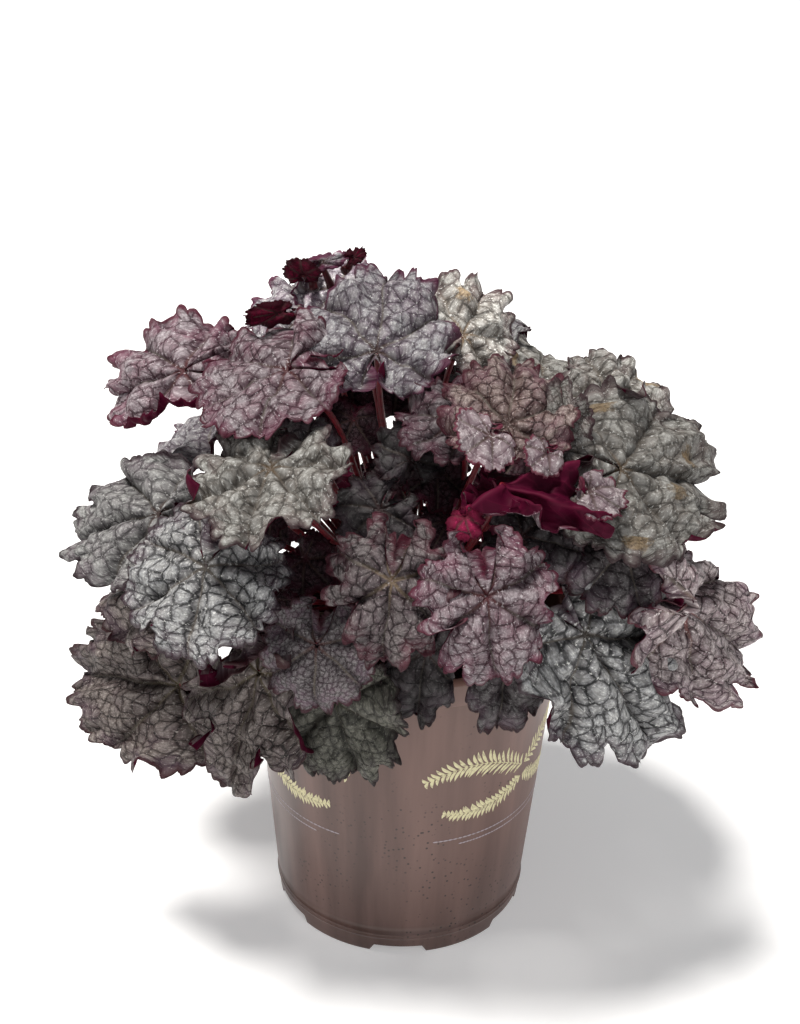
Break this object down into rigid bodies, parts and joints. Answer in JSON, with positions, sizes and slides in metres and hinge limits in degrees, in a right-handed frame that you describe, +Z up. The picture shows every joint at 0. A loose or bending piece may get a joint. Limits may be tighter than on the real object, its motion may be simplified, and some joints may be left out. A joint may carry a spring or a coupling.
{
  "type": "potted heuchera plant",
  "caption": "Heuchera with a dense mound of lobed, toothed, silver and purple veined leaves on red stalks, growing in a tapered round nursery pot with a rolled lip.",
  "frame": {"origin": "middle of the pot's underside, on the surface that it stands on", "axes": "+Z up along the pot's axis, -Y to the plant's front, +X to the right as seen from the front"},
  "size_m": [0.3255, 0.2738, 0.3436],
  "materials": {
    "pot": "moulded, satin, brown with darker upright bands and a pale printed sprig",
    "soil": "loose bark and peat potting mix, dull",
    "crown": "rough, scaly, brown to crimson",
    "leaf": "puckered between dark veins, silver over maroon above, crimson below"
  },
  "bodies": {
    "root": {"pot": "pot", "soil": "soil", "crown": "crown", "leaf_01": "leaf", "leaf_02": "leaf", "leaf_03": "leaf", "leaf_04": "leaf", "leaf_05": "leaf", "leaf_06": "leaf", "leaf_07": "leaf", "leaf_08": "leaf", "leaf_09": "leaf", "leaf_10": "leaf", "leaf_11": "leaf", "leaf_12": "leaf", "leaf_13": "leaf", "leaf_14": "leaf", "leaf_15": "leaf", "leaf_16": "leaf", "leaf_17": "leaf", "leaf_18": "leaf", "leaf_19": "leaf", "leaf_20": "leaf", "leaf_21": "leaf", "leaf_22": "leaf", "leaf_23": "leaf", "leaf_24": "leaf", "leaf_25": "leaf", "leaf_26": "leaf", "leaf_27": "leaf", "leaf_28": "leaf", "leaf_29": "leaf", "leaf_30": "leaf", "leaf_31": "leaf", "leaf_32": "leaf", "leaf_33": "leaf", "leaf_34": "leaf", "leaf_35": "leaf", "leaf_36": "leaf", "leaf_37": "leaf", "leaf_38": "leaf", "leaf_39": "leaf", "leaf_40": "leaf", "leaf_41": "leaf", "leaf_42": "leaf", "leaf_43": "leaf", "leaf_44": "leaf", "leaf_45": "leaf", "leaf_46": "leaf"}
  },
  "joints": []
}
